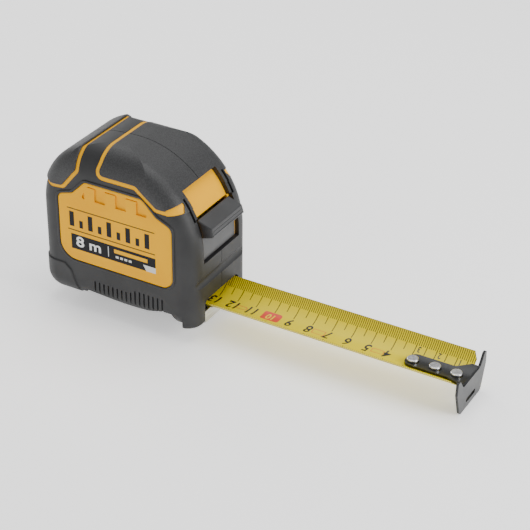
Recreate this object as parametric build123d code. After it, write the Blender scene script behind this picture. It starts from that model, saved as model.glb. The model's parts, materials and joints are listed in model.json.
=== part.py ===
"""Locking pocket tape measure: two half shells, rubber overmould, sprung reel, curved blade and riveted hook.

Millimetres. +X runs along the blade towards the hook, +Z is up, and the label side is -Y.
The origin is on the base plane, midway between the sides, straight under the reel axis.
"""
import os
from math import asin, atan2, cos, hypot, pi, radians, sin, sqrt

from build123d import *

# Case
case_length = 84.6
case_height = 79.4
side_room = 9.0           # from the flat blade's edge to the side of the case
front_x = 41.4            # front face, ahead of the reel axis
front_round = 43.4        # arc from the front face over the top
rear_round = 33.0
heel_round = 9.0
toe_round = 8.4
side_round = 8.0
top_round = 14.0          # along the top's side edges
rubber = 2.2
wall = 1.8
keel_lift = 0.8           # underside between the feet, above the base plane
keel_slope_y = 15.7       # the keel's lower edges slope up at 45 degrees beyond this
slip = 0.1                # gap between seated pieces
front_pad_proud = 0.3
rear_pad_proud = 0.9
heel_proud = 0.6
pad_edge = 0.5            # rounding of the pads' outer rims
front_rim_end = 26.5      # the front pad's rim is rounded behind this
seam_width = 0.3
seam_depth = 0.25

# Blade and hook
blade_width = 32.0        # measured flat
blade_curl = 16.8         # radius of the curved cross-section
blade_thickness = 0.2
blade_z = 3.7             # underside of the blade at its middle
blade_length = 8000.0
blade_out = 167.9         # hook face ahead of the reel axis
hook_thickness = 1.2
hook_drop = 10.8
hook_rise = 8.0
tongue_length = 31.0
tongue_width = 9.6
rivet_offsets = (27.5, 16.6, 6.2)
rivet_shank = 3.0
rivet_head = 5.4

# Reel
hub_radius = 20.0
hub_wall = 2.0
wound_pitch = 0.2         # radius gained by one turn of blade
coil_turn = 0.8           # pitch of the drawn turns, each standing for four real ones
flange = 1.2
reel_above_round = 3.0    # reel axis above the centre of the front arc
post_diameter = 8.0
post_fit = 0.05
spring_thickness = 0.5
spring_turn = 1.1

# Lock
lock_width = 27.2
lock_recess_gap = 1.9     # each side of the lock
lock_bottom_angle = -4.6
lock_top_angle = 25.0
window_top_angle = 44.0
slider_outer = 38.8       # radii about the centre of the front arc
slider_inner = 36.9
leg_angle = 42.0          # below level, where the slider's leg turns straight down
shoe_inside = 7.0         # the two shoes straddle the hook's tongue
shoe_outside = 11.4
shoe_length = 3.2
shoe_press = 0.05         # gap left between shoe and blade

# Side panel, stripes and label
panel_proud = 0.25
bezel_width = 1.3
bezel_proud = 0.5
bezel_edge = 0.4
stripe_width = 1.8
stripe_sunk = 0.15
stripe_end_y = 18.0       # the flared ends stop this far from the middle
label_thickness = 0.25
block_width = 5.6
block_pitch = 11.4
block_recess = 0.9

# Fasteners and clip
screw_shank = 2.6
screw_head = 5.0
screw_head_height = 1.8
boss_diameter = 5.2
clip_width = 20.0
clip_thickness = 1.2
clip_gap = 4.6
clip_top = 61.0
clip_bottom = 19.0
clip_screw_z = 52.0

half = blade_width / 2 + side_room
lock_recess_width = lock_width + 2 * lock_recess_gap
rear_x = front_x - case_length
lock_x = front_x - front_round
lock_z = case_height - front_round
reel_z = lock_z + reel_above_round
inner = rubber + wall
blade_half_angle = blade_width / 2 / blade_curl
blade_half = blade_curl * sin(blade_half_angle)
blade_rise = blade_curl * (1 - cos(blade_half_angle))
coil_outer = sqrt(hub_radius ** 2 + blade_length * wound_pitch / pi)
flange_radius = coil_outer + 1.2
drum_half = blade_width / 2 + 0.4
hook_x = blade_out
guide_back = front_x - tongue_length - 3.0
guide_floor = keel_lift + 0.9
rivet_groove = blade_z - 1.1
shoe_top = blade_z + blade_curl - sqrt(blade_curl ** 2 - shoe_outside ** 2) + 1.3
mouth_half = blade_half + 1.3
mouth_top = blade_z + blade_rise + 1.6
keel_half = blade_width / 2 + inner + 0.5
post_radius = post_diameter / 2
hub_bore = post_radius + post_fit


def prism(face, y0, y1):
    """Solid between two Y planes from a face drawn with X across and Z up."""
    return Pos(0, y1, 0) * extrude(Plane.XZ * face, y1 - y0)


def polygon(points, radius=0.0):
    """Closed face through points, every corner rounded to one radius."""
    if radius > 0:
        return make_face(FilletPolyline(*points, radius=radius, close=True))
    return make_face(Polyline(*points, close=True))


def block(x0, x1, y0, y1, z0, z1):
    return Pos((x0 + x1) / 2, (y0 + y1) / 2, (z0 + z1) / 2) * Box(x1 - x0, y1 - y0, z1 - z0)


def rod(x, z, radius, y0, y1):
    """Cylinder along Y."""
    return Pos(x, (y0 + y1) / 2, z) * Rot(90, 0, 0) * Cylinder(radius, y1 - y0)


def polar(radius, angle):
    """Point at a radius and angle about the centre of the front arc."""
    return (lock_x + radius * cos(radians(angle)), lock_z + radius * sin(radians(angle)))


def sector(r0, r1, a0, a1, y_half):
    """Curved slab between two radii and two angles about the centre of the front arc."""
    middle = (a0 + a1) / 2
    outer = ThreePointArc(polar(r1, a0), polar(r1, middle), polar(r1, a1))
    back = ThreePointArc(polar(r0, a1), polar(r0, middle), polar(r0, a0))
    sides = [Line(polar(r1, a1), polar(r0, a1)), Line(polar(r0, a0), polar(r1, a0))]
    return prism(make_face([outer, sides[0], back, sides[1]]), -y_half, y_half)


def scallop_outline(grow):
    """Finger scallop under each side, between the heel and the toe."""
    points = [(-24.5, -6.0), (-19.5, 4.6), (-10.0, 3.6), (3.0, 1.6), (15.0, 3.4),
              (24.0, 6.4), (29.0, 6.6), (front_x - 5.4, -6.0)]
    face = polygon(points)
    if grow > 0:
        face = offset(face, grow, kind=Kind.INTERSECTION)
    return face


def body(inset):
    """Solid inside the case's outer surface by an inset, scallops and keel included."""
    x0, x1 = rear_x + inset, front_x - inset
    z0, z1 = inset, case_height - inset
    radii = [heel_round - inset, toe_round - inset, front_round - inset, rear_round - inset]
    outline = FilletPolyline((x0, z0), (x1, z0), (x1, z1), (x0, z1), radius=radii, close=True)
    solid = prism(make_face(outline), inset - half, half - inset)
    sides = solid.faces().sort_by(Axis.Y)
    solid = fillet(sides[0].edges() + sides[-1].edges(), side_round - inset)
    for side in (-1, 1):
        near = side * (keel_half - inset)
        far = side * (half + 1)
        solid -= prism(scallop_outline(inset), min(near, far), max(near, far))
    solid -= keel_slopes(inset)
    solid &= roof(inset)
    keel_cut = keel_lift + inset
    return solid - block(-22.0 - inset, front_x - 7.0 + inset, -half, half, -1, keel_cut)


def across(points, x0, x1):
    """Solid between two X planes from a closed outline drawn with Y across and Z up."""
    face = Plane(origin=(x0, 0, 0), x_dir=(0, 1, 0), z_dir=(1, 0, 0)) * make_face(Polyline(*points, close=True))
    return extrude(face, x1 - x0)


def keel_slopes(inset):
    """Material taken off the keel's two lower edges, above the scallops."""
    edge = keel_slope_y - inset * sqrt(2)
    side_y = keel_half - inset
    slopes = [across([(side * (edge - 1), -1), (side * side_y, -1), (side * side_y, side_y - edge)],
                     -24.0, front_x) for side in (-1, 1)]
    return Compound(slopes) & prism(scallop_outline(inset), -half, half)


def roof(inset):
    """Whole length of the case with its top side edges rounded."""
    side_y, top, radius = half - inset, case_height - inset, top_round - inset
    profile = FilletPolyline((-side_y, -5), (side_y, -5), (side_y, top), (-side_y, top),
                             radius=[0, 0, radius, radius], close=True)
    face = Plane(origin=(rear_x - 5, 0, 0), x_dir=(0, 1, 0), z_dir=(1, 0, 0)) * make_face(profile)
    return extrude(face, case_length + 10)


def toe():
    """Squarer front foot beneath the mouth."""
    solid = block(front_x - 13.0, front_x, -half, half, 0, 14.0)
    uprights = solid.edges().filter_by(Axis.Z).group_by(Axis.X)[-1]
    solid = fillet(uprights, side_round)
    bottom = solid.faces().sort_by(Axis.Z)[0].edges().filter_by(lambda e: e.center().X > front_x - 12.5)
    return fillet(bottom, 2.0) - block(0, front_x - 6.4, -half, half, -1, 7.0)


def outer_body():
    """Whole rubber-covered surface, with the waist behind and the groove in front."""
    solid = body(0) + toe()
    return solid - rear_notch() - front_notch()


def rear_notch():
    return rod(rear_x - 1.6, 20.5, 3.3, -half - 2, half + 2)


def front_notch():
    return rod(front_x + 2.2, 23.0, 3.4, -half - 2, half + 2)


def panel_outline(grow=0.0):
    """Yellow side panel: a rounded plate with a raised tab at its top."""
    points = [(-32.0, 20.0), (30.4, 20.0), (30.4, 52.2), (22.0, 55.9), (14.8, 63.2),
              (-16.6, 63.2), (-23.8, 56.0), (-32.0, 53.6)]
    radii = [9.0, 6.0, 4.0, 3.0, 3.5, 2.5, 3.0, 3.5]
    face = make_face(FilletPolyline(*points, radius=radii, close=True))
    return offset(face, grow) if grow else face


def recess_outline():
    """Shallow trapezoid at the panel's top that holds the raised blocks."""
    return polygon([(-19.0, 54.4), (18.4, 54.4), (12.2, 61.6), (-14.6, 61.6)], 1.0)


def stripe_lines():
    """Centre lines of the two yellow stripes, from over the top to their ends."""
    top = case_height + 8
    front = FilletPolyline((-9.0, top), (-9.0, 74.0), (-10.3, 67.6), (11.0, 67.6),
                           (21.8, 59.3), (29.0, 59.1), radius=3.2)
    rear = FilletPolyline((-20.4, top), (-20.4, 68.0), (-28.8, 57.6), (-35.5, 57.0),
                          (rear_x - 6, 60.0), radius=2.6)
    return front, rear


def region(line, corners):
    """Face closed between a line and further corner points."""
    return make_face([*line.edges(), Polyline(line @ 1, *corners, line @ 0)])


def stripes():
    """Solid that holds both stripes of one half, with the front one's flared end on the side only."""
    front_line, rear_line = stripe_lines()
    lines = trace(front_line, stripe_width) + trace(rear_line, stripe_width)
    flare = polygon([(27.4, 58.0), (34.4, 59.2), (32.4, 63.4), (27.0, 60.6)], 0.4)
    return prism(lines, -half - 2, 0) + prism(flare, -half - 2, -stripe_end_y)


def masks():
    """Faces that share the skin between pads, heel and grip."""
    top = case_height + 8
    front_line, rear_line = stripe_lines()
    corner = (polar(front_round + 6, window_top_angle - 12.0)[0], (front_line @ 1).Y)
    pad_front = region(front_line, [corner, (corner[0], top)])
    pad_rear = region(rear_line, [(rear_x - 6, top)])
    heel = polygon([(rear_x - 6, 17.2), (-30.0, 16.8), (-26.6, 13.8), (-23.4, 5.0), (-23.4, -6.0),
                    (rear_x - 6, -6.0)])
    grip = polygon([(-21.0, -2.0), (-18.6, 9.6), (-15.6, 11.2), (6.0, 10.8), (12.4, 14.8), (23.0, 15.0),
                    (28.4, 11.0), (33.2, 5.6), (33.2, -2.0)])
    return pad_front, pad_rear, heel, grip


def screw_spots():
    """Case screws, outside the reel and clear of the lock's path."""
    high_rear = (rear_x + 14.4, case_height - 14.4)
    high_front = polar(38.6, 62.0)
    return [(rear_x + 7.6, 11.4), high_rear, high_front, (front_x - 4.7, 20.0)]


def mouth():
    """Slot that the blade leaves through."""
    return fillet(block(front_x - 12, front_x + 4, -mouth_half, mouth_half, blade_z - 1.2, mouth_top)
                  .edges().filter_by(Axis.X).group_by(Axis.Z)[-1], 3.0)


def front_recess():
    """Opening through the rubber for the lock and, above it, the window."""
    low = sector(front_round - rubber, front_round + 12, lock_bottom_angle, lock_top_angle,
                 lock_recess_width / 2)
    high = sector(front_round - rubber, front_round + 12, lock_top_angle - 0.5, window_top_angle,
                  lock_width / 2 + 0.4)
    return low + high


def cheek_slots():
    """Narrow slot beside each cheek of the window."""
    depth = front_round - 1.3
    side = lock_recess_width / 2
    tall = sector(depth, front_round + 4, 24.0, 40.0, side + 1.7)
    return tall - sector(depth - 1, front_round + 5, 20.0, 44.0, side + 0.3)


def left_only(solid):
    return solid & block(-200, 200, -200, 0, -200, 200)


def case_half(ridge_body, abs_body, cavity):
    """Yellow half shell with panel, stripe ridges, screw bosses, post socket and lock rails."""
    shell = left_only(abs_body) - cavity
    shell += (stripes() & left_only(ridge_body)) - abs_body
    panel = prism(panel_outline(), -half - panel_proud, -half + rubber)
    panel = fillet(panel.faces().sort_by(Axis.Y)[0].edges(), 0.7)
    recess = prism(recess_outline(), -half - 1, -half - panel_proud + block_recess)
    for step in (-1, 0, 1):
        x = step * block_pitch - 2.6
        recess -= block(x - block_width / 2, x + block_width / 2, -half - 2, half, 0, 61.0)
    shell += panel - recess
    shell -= prism(label_outline(), -half - 1, -half - panel_proud + label_thickness)
    for x, z in screw_spots():
        shell += rod(x, z, boss_diameter / 2, inner - half - 0.2, 0) & left_only(abs_body)
        shell -= rod(x, z, screw_shank / 2, -half + 8.0, 0)
    socket = rod(0, reel_z, post_radius + 2.4, inner - half, -drum_half - flange - 0.9)
    shell += socket - rod(0, reel_z, post_radius + slip / 2, inner - half, 0)
    rail = sector(slider_inner - 1.7, slider_inner - 0.4, -14.0, 34.0, half - inner + 0.2)
    shell += left_only(rail) - block(0, front_x, -lock_width / 2 - 0.6, 0, 0, case_height)
    opening = sector(slider_outer - 1, front_round, lock_bottom_angle, lock_top_angle,
                     lock_width / 2 + 0.4)
    window = sector(slider_outer - 1, front_round, lock_top_angle - 0.1, window_top_angle, lock_width / 2)
    shell -= opening + window + mouth() + guide_pocket()
    return shell.solids().sort_by(SortBy.VOLUME)[-1]


def guide_pocket():
    """Room for the blade guide and the wear plate under the mouth."""
    guide = block(guide_back - slip, front_x + 1, -mouth_half, mouth_half, guide_floor - slip,
                  blade_z + blade_rise)
    return guide + block(front_x - 14, front_x + 1, -mouth_half, mouth_half, -1, blade_z)


def label_outline():
    return polygon([(-27.6, 24.6), (22.4, 24.6), (22.4, 49.4), (-27.6, 49.4)], 1.2)


def label():
    return prism(label_outline(), -half - panel_proud, -half - panel_proud + label_thickness)


def rim(piece, surface):
    """Edges where a piece's outer faces, those on a surface, meet its side faces."""
    outer = [face for face in piece.faces()
             if min(Vertex(*face.center()).distance_to(other) for other in surface) < 0.001]
    counts = {}
    for face in outer:
        for edge in face.edges():
            counts.setdefault(edge, 0)
            counts[edge] += 1
    return [edge for edge, count in counts.items() if count == 1 and abs((edge @ 0.5).Y) > 0.001]


def pad(face, proud, abs_body, cuts, rim_end=front_x, ease=fillet):
    """One rubber pad of the label side, proud of the skin, with a rounded rim and a seam at the middle."""
    surface = body(-proud) & block(-200, 200, -200, 200, 0, 200)
    piece = (left_only(surface) & prism(face, -half - 2, 0)) - abs_body - stripes() - cuts
    piece = piece.solids().sort_by(SortBy.VOLUME)[-1]
    edges = [edge for edge in rim(piece, surface.faces())
             if edge.center().X < rim_end and edge.center().Z > pad_edge]
    return ease(edges, pad_edge) - seam(proud)


def seam(proud):
    """Shallow groove where the two halves meet."""
    ring = block(-100, 100, -seam_width / 2, 1, -20, 120)
    return ring - body(seam_depth - proud)


def bezel():
    """Rounded rubber bead round the side panel."""
    ring = offset(panel_outline(), bezel_width) - panel_outline()
    bead = prism(ring, -half - bezel_proud, -half + rubber - 0.5)
    return fillet(bead.faces().sort_by(Axis.Y)[0].edges(), bezel_edge)


def rubber_halves(skin_body, abs_body):
    """Rubber skin of the label side: pads, heel, ribbed grip and the smooth band between them."""
    pad_front, pad_rear, heel, grip = masks()
    panel_cut = prism(panel_outline(), -half - 1, -half + rubber + 1)
    bead_cut = prism(offset(panel_outline(), bezel_width), -half - 2, -half + rubber + 1)
    openings = front_recess() + mouth() + guide_pocket() + cheek_slots()
    notches = rear_notch() + front_notch()
    pieces = {"front_pad": pad(pad_front, front_pad_proud, abs_body, openings + bead_cut, front_rim_end),
              "rear_pad": pad(pad_rear, rear_pad_proud, abs_body, bead_cut),
              "heel_pad": pad(heel, heel_proud, abs_body, notches, ease=chamfer)}
    smooth = left_only(skin_body) - abs_body - panel_cut - openings - stripes()
    pieces["finger_grip"] = (smooth & prism(grip, -half, 0)) - grip_grooves()
    for face in (pad_front, pad_rear, heel, grip):
        smooth -= prism(face, -half, 0)
    smooth = smooth.solids().sort_by(SortBy.VOLUME)[-1]
    pieces["overmould"] = smooth + (bezel() - abs_body - stripes()) - seam(0)
    return pieces


def grip_grooves():
    """Sixteen finger grooves, cut a fixed depth into the lower side."""
    count, pitch, width, depth = 16, 2.5, 0.9, 0.7
    slots = [block(x - width / 2, x + width / 2, -half - 1, -keel_half, -1, 13.0)
             for x in (-13.2 + pitch * i for i in range(count))]
    core = block(-30, 40, -half + depth, 0, -2, 30)
    return Compound(slots) - core


def blade_section(x, z, curl, tilt=0.0, lift=0.0, thickness=blade_thickness, width=blade_width):
    """Curved strip section across the blade; lift raises it off the underside."""
    angle = width / 2 / curl
    low, high = curl - lift, curl - lift - thickness
    start = [(side * r * sin(angle), curl - r * cos(angle)) for r in (low, high) for side in (-1, 1)]
    under = ThreePointArc(start[0], (0, curl - low), start[1])
    over = ThreePointArc(start[3], (0, curl - high), start[2])
    face = make_face([under, Line(start[1], start[3]), over, Line(start[2], start[0])])
    across = Plane(origin=(x, 0, z), x_dir=(0, 1, 0), z_dir=(cos(tilt), 0, sin(tilt)))
    return across * face


def blade_path():
    """Point where the level blade starts, and the point where it leaves the coil."""
    start = (front_x - 19.0, blade_z)
    reach = hypot(start[0], reel_z - start[1])
    radius = coil_outer + 0.5
    bearing = atan2(reel_z - start[1], -start[0]) + asin(radius / reach)
    run = sqrt(reach ** 2 - radius ** 2)
    leave = (start[0] + run * cos(bearing), start[1] + run * sin(bearing))
    return start, leave, bearing


def blade():
    """Strip from the coil to the hook, flat where it leaves the coil and curved outside."""
    start, leave, bearing = blade_path()
    end = hook_x - hook_thickness - 0.4
    level = extrude(blade_section(start[0], start[1], blade_curl), end - start[0])
    tilt = bearing - pi
    flat = blade_section(leave[0], leave[1], 400.0, tilt=tilt)
    entry = loft([flat, blade_section(start[0], start[1], blade_curl)])
    strip = level + entry
    for side in (-1, 1):
        corner = [(end - 4.0, side * (blade_half + 1)), (end + 1, side * (blade_half + 1)),
                  (end + 1, side * (blade_half - 5.0))]
        strip -= extrude(make_face(Polyline(*corner, close=True)), blade_z + 20)
    for offset_x in rivet_offsets:
        strip -= Pos(hook_x - offset_x, 0, blade_z) * Cylinder(rivet_shank / 2, 6)
    return strip


def rivets():
    """Three solid rivets: low head under the blade, raised head over the tongue."""
    tongue_top = blade_z + blade_thickness + 0.05 + hook_thickness
    group = []
    for offset_x in rivet_offsets:
        x = hook_x - offset_x
        shank = Pos(x, 0, (blade_z + tongue_top) / 2) * Cylinder(rivet_shank / 2, tongue_top - blade_z + 1.0)
        under = Pos(x, 0, blade_z - 0.35) * Cylinder(rivet_head / 2 - 0.4, 0.7)
        over = Pos(x, 0, tongue_top + 0.95) * Cylinder(rivet_head / 2, 1.1)
        over = fillet(over.faces().sort_by(Axis.Z)[-1].edges(), 0.45)
        group.append((under + shank + over).solids()[0])
    return Compound(group)


def end_hook():
    """Black steel hook: slotted tongue over the blade and a tapered plate with a nail slot."""
    lift = blade_thickness + 0.05
    tongue = extrude(blade_section(hook_x - tongue_length, blade_z, blade_curl, lift=lift,
                                   thickness=hook_thickness, width=2 * 9.4),
                     tongue_length + hook_thickness / 2)
    w = tongue_width / 2
    plan = [(hook_x - tongue_length, -w), (hook_x - 9.0, -w), (hook_x - 2.0, -w - 3.6),
            (hook_x + 2, -w - 3.6), (hook_x + 2, w + 3.6), (hook_x - 2.0, w + 3.6),
            (hook_x - 9.0, w), (hook_x - tongue_length, w)]
    shape = make_face(FilletPolyline(*plan, radius=[w - 0.1, 3, 3, 0, 0, 3, 3, w - 0.1], close=True))
    tongue &= extrude(shape, blade_z + 12)
    for offset_x in rivet_offsets:
        slot = SlotOverall(rivet_shank + hook_thickness + 0.6, rivet_shank + 0.3)
        tongue -= Pos(hook_x - offset_x + hook_thickness / 2, 0, 0) * extrude(slot, blade_z + 12)
    ear = blade_half + 1.9
    top = blade_z + lift + hook_thickness
    corners = [(-ear + 4.2, blade_z - hook_drop), (ear - 4.2, blade_z - hook_drop), (ear, blade_z + 2.0),
               (ear - 0.4, blade_z + hook_rise), (ear - 2.6, blade_z + hook_rise), (ear - 6.4, top + 1.2),
               (-ear + 6.4, top + 1.2), (-ear + 2.6, blade_z + hook_rise), (-ear + 0.4, blade_z + hook_rise),
               (-ear, blade_z + 2.0)]
    radii = [2.5, 2.5, 3.0, 0.8, 0.8, 2.5, 2.5, 0.8, 0.8, 3.0]
    outline = make_face(FilletPolyline(*corners, radius=radii, close=True))
    nail = Pos(0, blade_z - 7.0) * SlotOverall(10.0, 2.2)
    upright = Plane(origin=(hook_x, 0, 0), x_dir=(0, 1, 0), z_dir=(1, 0, 0))
    return tongue + extrude(upright * (outline - nail), hook_thickness)


def spiral(radius, last_radius, pitch, thickness, y_half):
    """Coil about the reel axis as half circles whose centres alternate by half a pitch."""
    turns = int((last_radius - radius) / pitch)
    inner_edges, outer_edges = [], []
    for edges, r0 in ((inner_edges, radius), (outer_edges, radius + thickness)):
        at = r0
        for i in range(2 * turns):
            side = 1 if i % 2 == 0 else -1
            far = at + pitch / 2
            mid = (at + far) / 2
            x_mid = (side * at - side * far) / 2
            edges.append(ThreePointArc((side * at, 0), (x_mid, mid * side), (-side * far, 0)))
            at = far
    start = Line(inner_edges[0] @ 0, outer_edges[0] @ 0)
    end = Line(inner_edges[-1] @ 1, outer_edges[-1] @ 1)
    face = make_face([*inner_edges, end, *outer_edges, start])
    return Pos(0, 0, reel_z) * prism(face, -y_half, y_half)


def reel_drum():
    """Hub with one side web and a bore on the post; the power spring lives inside."""
    solid = rod(0, reel_z, hub_radius, -drum_half, drum_half)
    solid -= rod(0, reel_z, hub_radius - hub_wall, -drum_half, drum_half)
    solid += rod(0, reel_z, flange_radius, -drum_half - flange, -drum_half)
    return solid - rod(0, reel_z, hub_bore, -half, half)


def drum_cover():
    solid = rod(0, reel_z, flange_radius, drum_half, drum_half + flange)
    for i in range(6):
        angle = 2 * pi * i / 6
        x, z = 13.0 * cos(angle), reel_z + 13.0 * sin(angle)
        solid -= rod(x, z, 3.0, drum_half - 1, drum_half + flange + 1)
    return solid - rod(0, reel_z, hub_bore, -half, half)


def centre_post():
    """Fixed arbor with a slot that holds the inner end of the power spring."""
    reach = half - inner
    post = rod(0, reel_z, post_radius, -reach, reach)
    return post - block(-0.5, 0.5, -drum_half + 2, drum_half - 2, reel_z, reel_z + post_radius + 1)


def thrust_washers():
    group = []
    for side in (-1, 1):
        near = side * (drum_half + flange + 0.15)
        far = side * (drum_half + flange + 0.75)
        ring = rod(0, reel_z, post_radius + 3.4, min(near, far), max(near, far))
        group.append((ring - rod(0, reel_z, post_radius + slip / 2, -half, half)).solids()[0])
    return Compound(group)


def lock_button():
    """Curved slider with an outside thumb plate, a ridge and an inside leg down to the blade."""
    w = lock_width / 2
    slider = sector(slider_inner, slider_outer, -16.0, 21.0, w + 1.6)
    slider += sector(slider_inner, slider_outer, -leg_angle, -15.0, shoe_outside)
    neck = sector(slider_outer - 0.5, front_round - 1.2, lock_bottom_angle + 0.9, 12.2, w)
    ridge_points = [polar(front_round - 1.4, 11.5), polar(front_round + 3.9, 12.2),
                    polar(front_round + 5.3, 13.0), polar(front_round + 5.2, 17.6),
                    polar(front_round - 1.2, 24.4), polar(front_round - 1.3, 18.0)]
    ridge = prism(polygon(ridge_points, 0.4), -w, w)
    ridge = chamfer(ridge.faces().sort_by(Axis.Y)[0].edges() + ridge.faces().sort_by(Axis.Y)[-1].edges(), 0.35)
    for step in (0, 1):
        at = polar(front_round + 5.5, 14.0 + 1.9 * step)
        ridge -= rod(at[0], at[1], 0.45, -w - 1, w + 1)
    return slider + neck + ridge + lock_legs()


def leg_foot():
    return polar(slider_inner + 0.2, -leg_angle)


def paired(x0, x1, z0, z1):
    """Two blocks that straddle the middle of the blade."""
    near = block(x0, x1, -shoe_outside, -shoe_inside, z0, z1)
    return near + block(x0, x1, shoe_inside, shoe_outside, z0, z1)


def lock_legs():
    x, z = leg_foot()
    return paired(x, x + slider_outer - slider_inner - 0.4, shoe_top, z + 1.6)


def brake_shoes():
    """Two rubber shoes that the legs press on the blade's hollow side."""
    x, _ = leg_foot()
    middle = x + (slider_outer - slider_inner) / 2
    pads = paired(middle - shoe_length / 2, middle + shoe_length / 2, blade_z, shoe_top)
    hollow = blade_curl - blade_thickness - shoe_press
    return pads & Pos(x, 0, blade_z + blade_curl) * Rot(0, 90, 0) * Cylinder(hollow, 20)


def lock_spring():
    """Detent leaf between the slider and the rails."""
    return sector(slider_inner - 0.35, slider_inner, -10.0, 12.0, 5.0)


def window_plate():
    return sector(front_round - rubber - wall, front_round - rubber, lock_top_angle, window_top_angle,
                  lock_width / 2)


def mouth_guide():
    """Plastic cradle under the blade, with teeth across its front edge."""
    x0, x1 = guide_back, front_x - 1.3
    w = mouth_half - slip
    solid = block(blade_path()[0][0], x1, -w, w, guide_floor, blade_z + blade_rise - 0.6)
    solid += block(x0, x1, -w, w, guide_floor, blade_z + 3.4)
    solid -= Pos(front_x - 20, 0, blade_z + blade_curl) * Rot(0, 90, 0) * Cylinder(blade_curl + 0.3, 60)
    solid -= block(x0 - 1, x1 + 1, -rivet_head / 2 - 0.3, rivet_head / 2 + 0.3, rivet_groove, blade_z + 1)
    for i in range(-5, 6):
        solid -= block(x1 - 1.4, x1 + 1, i * 2.4 - 0.6, i * 2.4 + 0.6, keel_lift + 2.0, blade_z + blade_rise)
    return solid


def wear_plate():
    """Metal lip that stands in front of the guide and turns back under the case."""
    w = mouth_half - slip
    upright = block(front_x - 1.2, front_x - 0.1, -w, w, 0.2, 6.4)
    foot = block(front_x - 13.0, front_x - 0.1, -w, w, 0.2, keel_lift + 0.8)
    hollow = Pos(front_x, 0, blade_z + blade_curl) * Rot(0, 90, 0) * Cylinder(blade_curl + 0.5, 20)
    groove = block(front_x - 2, front_x + 1, -rivet_head / 2 - 0.3, rivet_head / 2 + 0.3, rivet_groove,
                   blade_z + 1)
    return upright + foot - hollow - groove


def case_screws():
    """Four screws driven from the clip side."""
    head_y = half - 5.0
    group = []
    for x, z in screw_spots():
        head = rod(x, z, screw_head / 2, head_y, head_y + screw_head_height)
        shank = rod(x, z, screw_shank / 2, -half + 8.5, head_y)
        drive = Pos(x, head_y + screw_head_height, z) * Rot(90, 0, 0) * extrude(RegularPolygon(1.2, 6), 1.0,
                                                                             both=True)
        group.append((head + shank - drive).solids()[0])
    return Compound(group)


def right_half(piece):
    return mirror(piece, about=Plane.XZ)


def screw_wells():
    """Holes and head wells through the clip side."""
    wells = [rod(x, z, screw_head / 2 + 0.2, half - 5.0, half + 5) for x, z in screw_spots()]
    holes = [rod(x, z, screw_shank / 2, 0, half) for x, z in screw_spots()]
    return wells, holes


def belt_clip():
    """Bent spring-steel strip: foot on the case, U bend at the top, long outer leg with a flared tip."""
    y = half + panel_proud
    t = clip_thickness
    outer_y = y + t + clip_gap
    inner_line = [(y + t, clip_screw_z - 8), (y + t, clip_top - 2.3), (y + t + clip_gap / 2, clip_top),
                  (outer_y, clip_top - 2.3), (outer_y, clip_bottom + 6), (outer_y + 2.0, clip_bottom)]
    arch = ThreePointArc(inner_line[1], inner_line[2], inner_line[3])
    path = [Line(inner_line[0], inner_line[1]), arch, Line(inner_line[3], inner_line[4]),
            Line(inner_line[4], inner_line[5])]
    top = clip_top + t
    over = [Line((y, clip_screw_z - 8), (y, clip_top - 2.3)),
            ThreePointArc((y, clip_top - 2.3), (y + t + clip_gap / 2, top), (outer_y + t, clip_top - 2.3)),
            Line((outer_y + t, clip_top - 2.3), (outer_y + t, clip_bottom + 6)),
            Line((outer_y + t, clip_bottom + 6), (outer_y + t + 2.0, clip_bottom))]
    ends = [Line(inner_line[0], over[0] @ 0), Line(inner_line[5], over[3] @ 1)]
    face = make_face([*path, ends[1], *over, ends[0]])
    side = Plane(origin=(-clip_width / 2, 0, 0), x_dir=(0, 1, 0), z_dir=(1, 0, 0))
    strip = extrude(side * face, clip_width)
    return strip - rod(0, clip_screw_z, screw_shank / 2 + 0.1, half - 2, y + t + 0.5)


def clip_access(strip):
    """Driver hole through the outer leg, over the clip screw."""
    y = half + panel_proud + clip_thickness + clip_gap
    return strip - rod(0, clip_screw_z, screw_head / 2 + 0.4, y - 1, y + clip_thickness + 1)


def clip_screw():
    y = half + panel_proud + clip_thickness
    head = rod(0, clip_screw_z, screw_head / 2, y, y + 1.4)
    return head + rod(0, clip_screw_z, screw_shank / 2, half - inner + 0.4, y)


def save(name, shape):
    """Write one node; a group is kept as separate solids."""
    solids = shape.solids()
    shape = solids[0] if len(solids) == 1 else Compound(solids)
    shape.label = name
    export_step(shape, f"parts/{name}.step")


def build():
    os.makedirs("parts", exist_ok=True)
    skin_body = outer_body()
    abs_body = body(rubber)
    cavity = body(inner)
    left = case_half(skin_body & body(stripe_sunk), abs_body, cavity)
    right = right_half(left)
    wells, holes = screw_wells()
    for cut in wells + holes:
        right -= cut
    right -= rod(0, clip_screw_z, screw_shank / 2, half - inner - 1, half + 2)
    save("case_left", left)
    save("case_right", right)
    for name, piece in rubber_halves(skin_body, abs_body).items():
        save(name + "_left", piece)
        other = right_half(piece)
        for cut in wells + holes:
            other -= cut
        save(name + "_right", other)
    save("label_left", label())
    save("label_right", right_half(label()) - block(-clip_width / 2 - 0.3, clip_width / 2 + 0.3, 0, half + 5,
                                                   clip_screw_z - 8.3, clip_top))
    save("window_plate", window_plate())
    save("lock_button", lock_button())
    save("brake_shoes", brake_shoes())
    save("lock_spring", lock_spring())
    save("centre_post", centre_post())
    save("thrust_washers", thrust_washers())
    save("reel_drum", reel_drum())
    save("drum_cover", drum_cover())
    save("blade_coil", spiral(hub_radius + 0.05, coil_outer - coil_turn, coil_turn, coil_turn * 0.8,
                              blade_width / 2))
    save("power_spring", spiral(post_radius + 0.9, hub_radius - hub_wall - 0.4, spring_turn, spring_thickness,
                                drum_half - 2.4))
    save("blade", blade())
    save("end_hook", end_hook())
    save("hook_rivets", rivets())
    save("mouth_guide", mouth_guide())
    save("wear_plate", wear_plate())
    save("case_screws", case_screws())
    save("belt_clip", clip_access(belt_clip()))
    save("clip_screw", clip_screw())


build()
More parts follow.
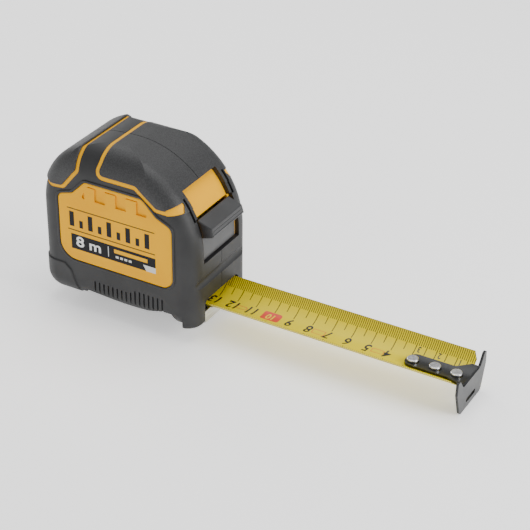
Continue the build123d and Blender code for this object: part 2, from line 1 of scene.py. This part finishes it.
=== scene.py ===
"""Looks of a pocket tape measure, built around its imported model. Metres, +X towards the hook, +Z up."""
import json
from math import asin, cos, pi, radians, sin

import bpy
import bmesh
from mathutils import Matrix, Vector


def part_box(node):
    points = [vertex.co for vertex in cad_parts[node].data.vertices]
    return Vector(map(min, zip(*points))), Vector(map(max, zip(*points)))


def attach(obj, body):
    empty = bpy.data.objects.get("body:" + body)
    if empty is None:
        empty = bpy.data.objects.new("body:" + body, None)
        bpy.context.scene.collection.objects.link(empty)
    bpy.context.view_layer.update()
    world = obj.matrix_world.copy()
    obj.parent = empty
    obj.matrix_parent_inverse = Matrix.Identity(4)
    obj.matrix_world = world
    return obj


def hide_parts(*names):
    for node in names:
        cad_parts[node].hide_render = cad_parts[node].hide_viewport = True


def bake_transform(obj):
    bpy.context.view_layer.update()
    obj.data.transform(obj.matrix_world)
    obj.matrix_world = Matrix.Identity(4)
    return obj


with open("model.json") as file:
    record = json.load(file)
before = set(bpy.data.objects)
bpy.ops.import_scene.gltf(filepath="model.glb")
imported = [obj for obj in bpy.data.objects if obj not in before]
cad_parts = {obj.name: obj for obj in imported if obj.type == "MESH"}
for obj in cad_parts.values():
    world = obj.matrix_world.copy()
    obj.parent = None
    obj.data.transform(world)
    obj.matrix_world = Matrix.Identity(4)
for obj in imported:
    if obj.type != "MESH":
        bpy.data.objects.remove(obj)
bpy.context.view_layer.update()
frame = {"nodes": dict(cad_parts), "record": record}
MM = 0.001

# Sizes taken from the frame
HOOK_LOW, HOOK_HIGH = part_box("end_hook")
BLADE_LOW, BLADE_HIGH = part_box("blade")
LABEL_LOW, LABEL_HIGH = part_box("label_left")
LABEL_MIDDLE = (LABEL_LOW.x + LABEL_HIGH.x) / 2 / MM
HOOK_PLATE = 1.2 * MM
ZERO_X = HOOK_HIGH.x - HOOK_PLATE
BLADE_Z = 3.7 * MM
BLADE_CURL = 16.8 * MM
BLADE_WIDTH = 32.0 * MM
BLADE_SKIN = 0.2 * MM
HALF_TURN = BLADE_WIDTH / 2 / BLADE_CURL
TOP_CURL = BLADE_CURL - BLADE_SKIN

# Spans of the print map, in millimetres: U counts back from the zero, V across from one edge's side
MAP_LENGTH = 200.0
MAP_WIDTH = 40.0


# ---------------------------------------------------------------- shader tools
class Value:
    """A shader socket that takes part in ordinary arithmetic."""

    def __init__(self, finish, socket):
        self.finish, self.socket = finish, socket

    def maths(self, operation, *values):
        return self.finish.node("ShaderNodeMath", {"operation": operation}, *values)

    def __add__(self, other):
        return self.maths("ADD", self, other)

    __radd__ = __add__

    def __sub__(self, other):
        return self.maths("SUBTRACT", self, other)

    def __rsub__(self, other):
        return self.maths("SUBTRACT", other, self)

    def __mul__(self, other):
        return self.maths("MULTIPLY", self, other)

    __rmul__ = __mul__

    def __truediv__(self, other):
        return self.maths("DIVIDE", self, other)

    def __lt__(self, other):
        return self.maths("LESS_THAN", self, other)

    def __gt__(self, other):
        return self.maths("GREATER_THAN", self, other)

    def size(self):
        return self.maths("ABSOLUTE", self)

    def lower(self, other):
        return self.maths("MINIMUM", self, other)

    def higher(self, other):
        return self.maths("MAXIMUM", self, other)

    def wrapped(self, step):
        """Signed distance to the nearest multiple of a step."""
        return self.maths("WRAP", self, step / 2, -step / 2)

    def between(self, low, high):
        return (self > low) * (self < high)

    def ramp(self, low, high, to_low=0.0, to_high=1.0):
        return self.finish.node("ShaderNodeMapRange", {"interpolation_type": "SMOOTHSTEP"},
                                self, low, high, to_low, to_high)


class Finish:
    """One material: a Principled shader and the nodes that feed it."""

    def __init__(self, name, color, roughness, metallic=0.0, **uniform):
        self.material = bpy.data.materials.new(name)
        self.material.use_nodes = True
        self.tree = self.material.node_tree
        self.shader = self.tree.nodes["Principled BSDF"]
        self.shader.inputs["Base Color"].default_value = (*color, 1.0)
        self.shader.inputs["Roughness"].default_value = roughness
        self.shader.inputs["Metallic"].default_value = metallic
        for socket, value in uniform.items():
            self.shader.inputs[socket.replace("_", " ")].default_value = value

    def node(self, kind, settings=None, *values, out=0, **named):
        made = self.tree.nodes.new(kind)
        for key, value in (settings or {}).items():
            setattr(made, key, value)
        pairs = list(enumerate(values))
        pairs += [(key.replace("_", " "), value) for key, value in named.items()]
        for key, value in pairs:
            if isinstance(value, Value):
                self.tree.links.new(value.socket, made.inputs[key])
            elif value is not None:
                made.inputs[key].default_value = value
        return Value(self, made.outputs[out])

    def feed(self, socket, value):
        self.tree.links.new(value.socket, self.shader.inputs[socket])

    def place(self):
        """Position in the row frame, as a vector."""
        return self.node("ShaderNodeTexCoord", out="Object")

    def split(self, vector):
        return [self.node("ShaderNodeSeparateXYZ", None, vector, out=axis) for axis in ("X", "Y", "Z")]

    def noise(self, scale, detail=2.0, vector=None, roughness=0.5):
        return self.node("ShaderNodeTexNoise", None, Vector=vector or self.place(), Scale=scale,
                         Detail=detail, Roughness=roughness)

    def cells(self, scale, feature="F1", vector=None):
        return self.node("ShaderNodeTexVoronoi", {"feature": feature}, out="Distance",
                         Vector=vector or self.place(), Scale=scale)

    def stretched(self, scale):
        return self.node("ShaderNodeMapping", None, Vector=self.place(), Scale=scale)

    def mix(self, factor, low, high):
        """Colour between two colours, each a tuple or a Value."""
        made = self.tree.nodes.new("ShaderNodeMix")
        made.data_type = "RGBA"
        for index, value in ((0, factor), (6, low), (7, high)):
            if isinstance(value, Value):
                self.tree.links.new(value.socket, made.inputs[index])
            else:
                made.inputs[index].default_value = value if index == 0 else (*value, 1.0)
        return Value(self, made.outputs[2])

    def bump(self, height, distance, strength=1.0):
        self.feed("Normal", self.node("ShaderNodeBump", None, Height=height, Distance=distance,
                                      Strength=strength))


# ---------------------------------------------------------------- finishes
YELLOW = (0.86, 0.42, 0.0)
YELLOW_DEEP = (0.82, 0.385, 0.0)
INK = (0.012, 0.012, 0.013)
RUBBER = (0.012, 0.0122, 0.013)
BLADE_YELLOW = (0.74, 0.60, 0.0)


def moulded_yellow():
    f = Finish("moulded_yellow", YELLOW, 0.40, Specular_IOR_Level=0.08)
    drift = f.noise(38.0, 3.0)
    f.feed("Base Color", f.mix(drift.ramp(0.35, 0.65), YELLOW, YELLOW_DEEP))
    grain = f.noise(2600.0, 2.0)
    f.feed("Roughness", 0.32 + 0.10 * f.noise(160.0, 4.0))
    f.bump(grain, 0.02 * MM, 0.35)
    return f.material


def smooth_rubber(name="smooth_rubber", color=RUBBER, roughness=0.52):
    f = Finish(name, color, roughness, Specular_IOR_Level=0.42)
    drift = f.noise(55.0, 4.0)
    lighter = tuple(1.45 * c + 0.004 for c in color)
    f.feed("Base Color", f.mix(drift.ramp(0.30, 0.75), color, lighter))
    f.feed("Roughness", roughness - 0.06 + 0.14 * f.noise(210.0, 5.0))
    f.bump(f.noise(1900.0, 3.0) + 0.5 * f.noise(420.0, 2.0), 0.03 * MM, 0.4)
    return f.material


def grained_rubber():
    """Leather-like moulded grain: raised islands a little under a millimetre across."""
    f = Finish("grained_rubber", (0.022, 0.0225, 0.0235), 0.5, Specular_IOR_Level=0.5)
    islands = f.cells(2100.0, "SMOOTH_F1")
    speck = f.noise(3600.0, 3.0, roughness=0.7)
    height = islands.ramp(0.1, 0.8, 1.0, 0.0) + 0.5 * speck
    # Base colour follows the grain height: darker in the pits between the islands is painted shade in the
    # recesses, and the speck noise adds random mottle.
    f.feed("Base Color", f.mix(height.ramp(0.45, 1.25), (0.016, 0.0163, 0.017), (0.030, 0.0305, 0.032)))
    f.feed("Roughness", 0.44 + 0.14 * speck)
    f.bump(height, 0.05 * MM, 0.5)
    return f.material


def satin_plastic(name, color, roughness=0.40):
    f = Finish(name, color, roughness, Specular_IOR_Level=0.5)
    lighter = tuple(1.3 * c + 0.003 for c in color)
    f.feed("Base Color", f.mix(f.noise(90.0, 3.0).ramp(0.3, 0.7), color, lighter))
    f.feed("Roughness", roughness - 0.05 + 0.12 * f.noise(260.0, 4.0))
    f.bump(f.noise(2200.0, 2.0), 0.02 * MM, 0.35)
    return f.material


def metal(name, color, roughness, streak=(60.0, 900.0, 900.0), depth=0.25):
    """Rolled or drawn metal with fine streaks along one axis."""
    f = Finish(name, color, roughness, 1.0)
    streaks = f.noise(1.0, 3.0, f.stretched(streak), 0.6)
    darker = tuple(0.72 * c for c in color)
    f.feed("Base Color", f.mix(streaks.ramp(0.3, 0.7), darker, color))
    f.feed("Roughness", roughness - 0.07 + 0.16 * streaks)
    f.bump(streaks, 0.01 * MM, depth)
    return f.material


def coated_steel(name, color, roughness=0.38):
    """Black coated steel with rubbed, slightly brighter flecks."""
    f = Finish(name, color, roughness, 0.35, Specular_IOR_Level=0.5)
    flecks = f.noise(520.0, 5.0, roughness=0.7)
    lighter = tuple(1.9 * c + 0.01 for c in color)
    f.feed("Base Color", f.mix(flecks.ramp(0.52, 0.80), color, lighter))
    f.feed("Roughness", roughness - 0.08 + 0.2 * f.noise(180.0, 4.0))
    f.bump(f.noise(1500.0, 3.0), 0.02 * MM, 0.35)
    return f.material


def blade_lacquer():
    """Yellow lacquer with printed graduations, placed by the print map."""
    f = Finish("blade_lacquer", BLADE_YELLOW, 0.34,
               Specular_IOR_Level=0.15, Coat_Weight=0.05, Coat_Roughness=0.2)
    u, v, _ = f.split(f.node("ShaderNodeUVMap", {"uv_map": "print"}))
    along, across = u * MAP_LENGTH, (v - 0.5) * MAP_WIDTH
    millimetre = along.wrapped(1.0).size() < 0.17
    far = millimetre * across.between(10.2, 15.9)
    near = millimetre * across.between(-15.9, -11.0)
    half = ((along - 5.0).wrapped(10.0).size() < 0.19) * across.between(6.4, 10.4)
    ten = (along.wrapped(10.0).size() < 0.2) * across.between(3.6, 10.4)
    low_half = ((along - 5.0).wrapped(10.0).size() < 0.14) * across.between(-11.2, -8.4)
    low_ten = (along.wrapped(10.0).size() < 0.15) * across.between(-11.2, -4.4)
    marks = (far + near + half + ten + low_half + low_ten).lower(1.0) * (along > 0.6)
    paint = f.mix(f.noise(30.0, 3.0).ramp(0.3, 0.7), BLADE_YELLOW, (0.70, 0.56, 0.0))
    f.feed("Base Color", f.mix(marks, paint, (0.03, 0.03, 0.02)))
    f.feed("Roughness", 0.26 + 0.10 * f.noise(120.0, 4.0))
    f.bump(f.noise(900.0, 2.0), 0.01 * MM, 0.2)
    return f.material


def label_print():
    """Printed film: rules, bars and a dark band with a pale slanted tab, unmirrored on both sides."""
    f = Finish("label_print", YELLOW, 0.40, Specular_IOR_Level=0.08)
    x, y, z = f.split(f.place())
    facing = 1.0 - 2.0 * (y > 0.0)
    across, up = LABEL_MIDDLE + facing * (x / MM - LABEL_MIDDLE), z / MM
    rules = across.between(-27.0, 21.2) * (((up - 47.6).size() < 0.26).higher((up - 36.3).size() < 0.26))
    step = (across + 24.6).wrapped(5.2).size()
    tall = ((across + 24.6).wrapped(10.4).size() < 1.3) * up.between(38.2, 46.0)
    short = (step < 1.0) * up.between(38.2, 42.2)
    bars = across.between(-26.0, 20.4) * tall.higher(short)
    band = across.between(-25.4, 21.4) * up.between(26.2, 34.2)
    tab = ((across + 0.55 * up) > 30.6) * (up < 29.2) * band
    dark = rules.higher(bars).higher(band)
    divider = ((across + 4.6).size() < 0.22) * up.between(27.6, 33.0)
    strip = across.between(-1.4, 17.0) * up.between(30.6, 32.6)
    dashes = across.between(-1.4, 9.0) * up.between(28.0, 29.2) * ((across - 0.2).wrapped(2.4).size() < 0.8)
    paint = f.mix(f.noise(40.0, 3.0).ramp(0.35, 0.65), YELLOW, YELLOW_DEEP)
    inked = f.mix(dark, paint, (0.016, 0.016, 0.018))
    silver = f.mix(tab.higher(divider * band).higher(dashes), inked, (0.62, 0.62, 0.60))
    f.feed("Base Color", f.mix(strip, silver, YELLOW))
    f.feed("Roughness", 0.30 + 0.08 * f.noise(200.0, 3.0))
    f.bump(dark, 0.02 * MM, 0.3)
    return f.material


def flat_ink(name, color, roughness=0.35):
    f = Finish(name, color, roughness)
    f.feed("Base Color", f.mix(f.noise(300.0, 2.0).ramp(0.3, 0.7), color, tuple(1.15 * c for c in color)))
    return f.material


finishes = {
    "casing": moulded_yellow(),
    "overmould": smooth_rubber(),
    "grip_pad": grained_rubber(),
    "foot_rubber": smooth_rubber("foot_rubber", (0.014, 0.0142, 0.015), 0.50),
    "label_film": label_print(),
    "lock_plastic": satin_plastic("lock_plastic", (0.024, 0.0245, 0.026), 0.36),
    "spring_steel": metal("spring_steel", (0.35, 0.36, 0.38), 0.30),
    "steel": metal("zinc_steel", (0.60, 0.61, 0.64), 0.30, (500.0, 500.0, 500.0)),
    "guide_plastic": satin_plastic("guide_plastic", (0.02, 0.02, 0.021), 0.45),
    "blade_paint": satin_plastic("coil_lacquer", BLADE_YELLOW, 0.32),
    "hook_black": coated_steel("hook_black", (0.018, 0.019, 0.020), 0.32),
    "rivet_metal": metal("rivet_metal", (0.86, 0.86, 0.87), 0.22, (700.0, 700.0, 700.0), 0.15),
    "wear_metal": metal("wear_metal", (0.70, 0.71, 0.74), 0.30, (900.0, 60.0, 900.0)),
    "clip_black": coated_steel("clip_black", (0.022, 0.022, 0.024), 0.40),
}
for part in frame["record"]["subparts"]:
    piece = frame["nodes"][part["node"]]
    piece.data.materials.clear()
    piece.data.materials.append(finishes[part["material_slot"]])


# ---------------------------------------------------------------- modelling tools
def deselect():
    if bpy.context.object and bpy.context.object.mode != "OBJECT":
        bpy.ops.object.mode_set(mode="OBJECT")
    bpy.ops.object.select_all(action="DESELECT")


def activate(piece):
    deselect()
    piece.select_set(True)
    bpy.context.view_layer.objects.active = piece


def edit(piece):
    """Opens a piece in edit mode with nothing selected."""
    activate(piece)
    bpy.ops.object.mode_set(mode="EDIT")
    bpy.ops.mesh.select_all(action="DESELECT")


def pick(piece, test, kind="verts"):
    """Selects the vertices, edges or faces whose centre passes a test."""
    bm = bmesh.from_edit_mesh(piece.data)
    bpy.ops.mesh.select_mode(type={"verts": "VERT", "edges": "EDGE", "faces": "FACE"}[kind])
    for item in getattr(bm, kind):
        if kind == "verts":
            item.select = test(item.co)
        elif kind == "edges":
            item.select = test((item.verts[0].co + item.verts[1].co) / 2)
        else:
            item.select = test(item.calc_center_median())
    bm.select_flush_mode()
    bmesh.update_edit_mesh(piece.data)


def finish_piece(piece, name, material, body=None, smooth=30.0):
    """Names a piece, puts its place into its mesh, and gives it its finish and body."""
    deselect()
    activate(piece)
    bpy.ops.object.transform_apply(location=True, rotation=True, scale=True)
    piece.name = piece.data.name = name
    piece.data.materials.clear()
    piece.data.materials.append(material)
    bpy.ops.object.shade_smooth_by_angle(angle=radians(smooth))
    if body:
        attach(piece, body)
    return piece


def apply_modifier(piece, kind, **settings):
    activate(piece)
    modifier = piece.modifiers.new(kind.lower(), kind)
    for key, value in settings.items():
        setattr(modifier, key, value)
    bpy.ops.object.modifier_apply(modifier=modifier.name)


def add_print_map(piece):
    """UV map in which U is the distance back from the zero and V the distance across the flat strip."""
    layer = piece.data.uv_layers.new(name="print")
    for loop in piece.data.loops:
        spot = piece.data.vertices[loop.vertex_index].co
        across = BLADE_CURL * asin(max(-1.0, min(1.0, spot.y / BLADE_CURL)))
        layer.data[loop.index].uv = ((ZERO_X - spot.x) / MM / MAP_LENGTH, across / MM / MAP_WIDTH + 0.5)


# ---------------------------------------------------------------- blade
BLEND_START = (20.0 * MM, 0.0, BLADE_Z)
BLEND_END = (BLADE_HIGH.x, 0.0, BLADE_Z)


def blade_strip():
    """Curved strip spun about its centre of curvature, its two free corners cut off."""
    length = BLEND_END[0] - BLEND_START[0]
    deselect()
    bpy.ops.mesh.primitive_grid_add(x_subdivisions=148, y_subdivisions=1, size=1.0,
                                    location=(BLEND_START[0] + length / 2, 0.0, BLADE_Z + BLADE_SKIN / 2))
    strip = bpy.context.object
    strip.scale = (length, 0.01, 1.0)
    bpy.ops.object.transform_apply(location=True, rotation=True, scale=True)
    edit(strip)
    pick(strip, lambda c: c.y > 0)
    bpy.ops.mesh.delete(type="VERT")
    bpy.ops.mesh.select_all(action="SELECT")
    bpy.ops.transform.translate(value=(0.0, 0.005, 0.0))
    centre = (0.0, 0.0, BLADE_Z + BLADE_CURL)
    bpy.ops.transform.rotate(value=HALF_TURN, orient_axis="X", center_override=centre)
    bm = bmesh.from_edit_mesh(strip.data)
    starts_near = min(v.co.y for v in bm.verts) < 0
    sweep = 2 * HALF_TURN * (-1 if starts_near else 1)
    bpy.ops.mesh.spin(steps=28, angle=sweep, center=centre, axis=(1.0, 0.0, 0.0))
    for across in (-1, 1):
        bpy.ops.mesh.select_all(action="SELECT")
        bpy.ops.mesh.bisect(plane_co=(BLADE_HIGH.x - 2.6 * MM, across * BLADE_HIGH.y * 0.91, 0.0),
                            plane_no=(0.86, across * 0.68, 0.0), clear_outer=True)
    bpy.ops.mesh.select_all(action="SELECT")
    bpy.ops.mesh.remove_doubles(threshold=0.01 * MM)
    bpy.ops.mesh.normals_make_consistent(inside=False)
    bpy.ops.object.mode_set(mode="OBJECT")
    apply_modifier(strip, "SOLIDIFY", thickness=BLADE_SKIN, offset=0.0)
    finish_piece(strip, "printed_blade", blade_lacquer())
    add_print_map(strip)
    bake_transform(strip)
    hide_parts("blade")
    return strip


def on_blade(piece, lift):
    """Lays a flat print in X and Y on the hollow face of the blade; Y is measured along the curve."""
    radius = TOP_CURL - lift
    for vertex in piece.data.vertices:
        angle = vertex.co.y / TOP_CURL
        vertex.co.y = radius * sin(angle)
        vertex.co.z = BLADE_Z + BLADE_CURL - radius * cos(angle)


def number(text, x, across, height, lean=0.0):
    """Numeral turned to read from the clip side, cut fine enough to follow the curve."""
    deselect()
    bpy.ops.object.text_add(location=(0.0, 0.0, 0.0))
    figure = bpy.context.object
    figure.data.body = text
    figure.data.align_x = "CENTER"
    figure.data.align_y = "CENTER"
    figure.data.size = height / 0.70
    figure.data.offset = 0.03 * height
    figure.data.shear = lean
    figure.data.resolution_u = 4
    bpy.ops.object.convert(target="MESH")
    figure.rotation_euler = (0.0, 0.0, pi)
    figure.scale = (0.82, 1.0, 1.0)
    figure.location = (x, across, 0.0)
    bpy.ops.object.transform_apply(location=True, rotation=True, scale=True)
    edit(figure)
    for i in range(-3, 4):
        bpy.ops.mesh.select_all(action="SELECT")
        bpy.ops.mesh.bisect(plane_co=(0.0, across + i * height / 7, 0.0), plane_no=(0.0, 1.0, 0.0))
    bpy.ops.object.mode_set(mode="OBJECT")
    return figure


def tile(x, across, width, depth, corner, frame_width=0.0):
    """Rounded printed tile, or only its outline when a frame width is given."""
    deselect()
    bpy.ops.mesh.primitive_plane_add(size=1.0, location=(x, across, 0.0))
    plate = bpy.context.object
    plate.scale = (width, depth, 1.0)
    bpy.ops.object.transform_apply(location=True, rotation=True, scale=True)
    edit(plate)
    bpy.ops.mesh.select_all(action="SELECT")
    bpy.ops.mesh.bevel(offset=corner, segments=4, affect="VERTICES")
    if frame_width:
        pick(plate, lambda c: True, "faces")
        bpy.ops.mesh.inset(thickness=frame_width)
        bpy.ops.mesh.delete(type="FACE")
    for i in range(-3, 4):
        bpy.ops.mesh.select_all(action="SELECT")
        bpy.ops.mesh.bisect(plane_co=(0.0, across + i * depth / 8, 0.0), plane_no=(0.0, 1.0, 0.0))
    bpy.ops.object.mode_set(mode="OBJECT")
    return plate


def join(pieces):
    activate(pieces[0])
    for piece in pieces:
        piece.select_set(True)
    bpy.ops.object.join()
    return bpy.context.object


def lay_print(pieces, name, color, lift):
    print_piece = join(pieces) if len(pieces) > 1 else pieces[0]
    on_blade(print_piece, lift)
    finish_piece(print_piece, name, flat_ink(name, color))
    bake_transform(print_piece)


def blade_numbers():
    black = []
    for centimetre in range(4, 15):
        if centimetre != 10:
            black.append(number(str(centimetre), ZERO_X - centimetre * 10 * MM, 0.4 * MM, 5.6 * MM, 0.18))
    for centimetre in (1, 2, 3):
        black.append(number(str(centimetre), ZERO_X - (centimetre * 10 - 1.9) * MM, 8.6 * MM, 2.9 * MM))
    lay_print(black, "scale_numbers", INK, 0.02 * MM)
    red = [tile(ZERO_X - 100 * MM, 0.2 * MM, 9.4 * MM, 6.6 * MM, 1.2 * MM),
           tile(ZERO_X - 116 * MM, 0.2 * MM, 6.0 * MM, 2.6 * MM, 1.2 * MM, 0.3 * MM),
           tile(ZERO_X - 75 * MM, 0.2 * MM, 6.4 * MM, 3.4 * MM, 0.3 * MM, 0.25 * MM),
           tile(ZERO_X - 45 * MM, 0.2 * MM, 6.0 * MM, 3.0 * MM, 0.4 * MM, 0.25 * MM)]
    lay_print(red, "red_marks", (0.62, 0.045, 0.02), 0.015 * MM)
    ten = number("10", ZERO_X - 100 * MM, 0.2 * MM, 4.0 * MM, 0.1)
    lay_print([ten], "ten_number", BLADE_YELLOW, 0.03 * MM)


# ---------------------------------------------------------------- label figures
def capacity_figure(side, name):
    """Plain capacity figure in one label's dark band; side is -1 for the left label and 1 for the right."""
    deselect()
    bpy.ops.object.text_add(location=(0.0, 0.0, 0.0))
    figure = bpy.context.object
    figure.data.body = "8 m"
    figure.data.align_x = "CENTER"
    figure.data.align_y = "CENTER"
    figure.data.size = 7.4 * MM
    figure.data.offset = 0.16 * MM
    bpy.ops.object.convert(target="MESH")
    figure.rotation_euler = (pi / 2, 0.0, pi if side > 0 else 0.0)
    figure.scale = (1.25, 1.0, 1.0)
    across = LABEL_MIDDLE - side * (-15.6 - LABEL_MIDDLE)
    figure.location = (across * MM, -side * (LABEL_LOW.y - 0.02 * MM), 30.3 * MM)
    finish_piece(figure, name, flat_ink(name + "_ink", (0.72, 0.72, 0.70)), "case")


# ---------------------------------------------------------------- camera, light and floor
def studio():
    azimuth, elevation, roll = radians(29.39), radians(31.31), radians(0.71)
    turn = (Matrix.Rotation(azimuth, 4, "Z") @ Matrix.Rotation(pi / 2 - elevation, 4, "X")
            @ Matrix.Rotation(roll, 4, "Z"))
    data = bpy.data.cameras.new("camera")
    data.lens, data.sensor_width = 111.3, 36.0
    data.clip_start, data.clip_end = 0.01, 20.0
    camera = bpy.data.objects.new("camera", data)
    bpy.context.scene.collection.objects.link(camera)
    camera.matrix_world = Matrix.Translation(Vector((377.8, -556.4, 419.7)) * MM) @ turn
    bpy.context.scene.camera = camera

    world = bpy.data.worlds.new("studio")
    bpy.context.scene.world = world
    world.use_nodes = True
    sky = world.node_tree.nodes["Background"]
    sky.inputs["Color"].default_value = (1.0, 1.0, 1.0, 1.0)
    sky.inputs["Strength"].default_value = 0.5

    deselect()
    floor_z = HOOK_LOW.z - 0.3 * MM
    bpy.ops.mesh.primitive_plane_add(size=6.0, location=(0.0, 0.0, floor_z))
    floor = bpy.context.object
    floor.name = "floor"
    paper = Finish("paper", (0.97, 0.97, 0.97), 0.95,
                   Emission_Color=(1.0, 1.0, 1.0, 1.0), Emission_Strength=0.5)
    floor.data.materials.append(paper.material)

    middle = Vector((60.0, 0.0, 20.0)) * MM
    lamps = [("overhead", (0.05, 0.25, 0.95), 0.8, 6.5),
             ("front_right", (0.95, 0.05, 0.40), 0.5, 8.0),
             ("near_side", (-0.35, -0.95, 0.45), 0.7, 2.2),
             ("rear_left", (-0.8, 0.5, 0.55), 0.5, 3.0)]
    for name, spot, size, power in lamps:
        light = bpy.data.lights.new(name, "AREA")
        light.size, light.energy = size, power
        lamp = bpy.data.objects.new(name, light)
        bpy.context.scene.collection.objects.link(lamp)
        lamp.location = spot
        lamp.rotation_euler = (Vector(spot) - middle).to_track_quat("Z", "Y").to_euler()


blade_strip()
blade_numbers()
capacity_figure(-1, "capacity_figure_left")
capacity_figure(1, "capacity_figure_right")
studio()
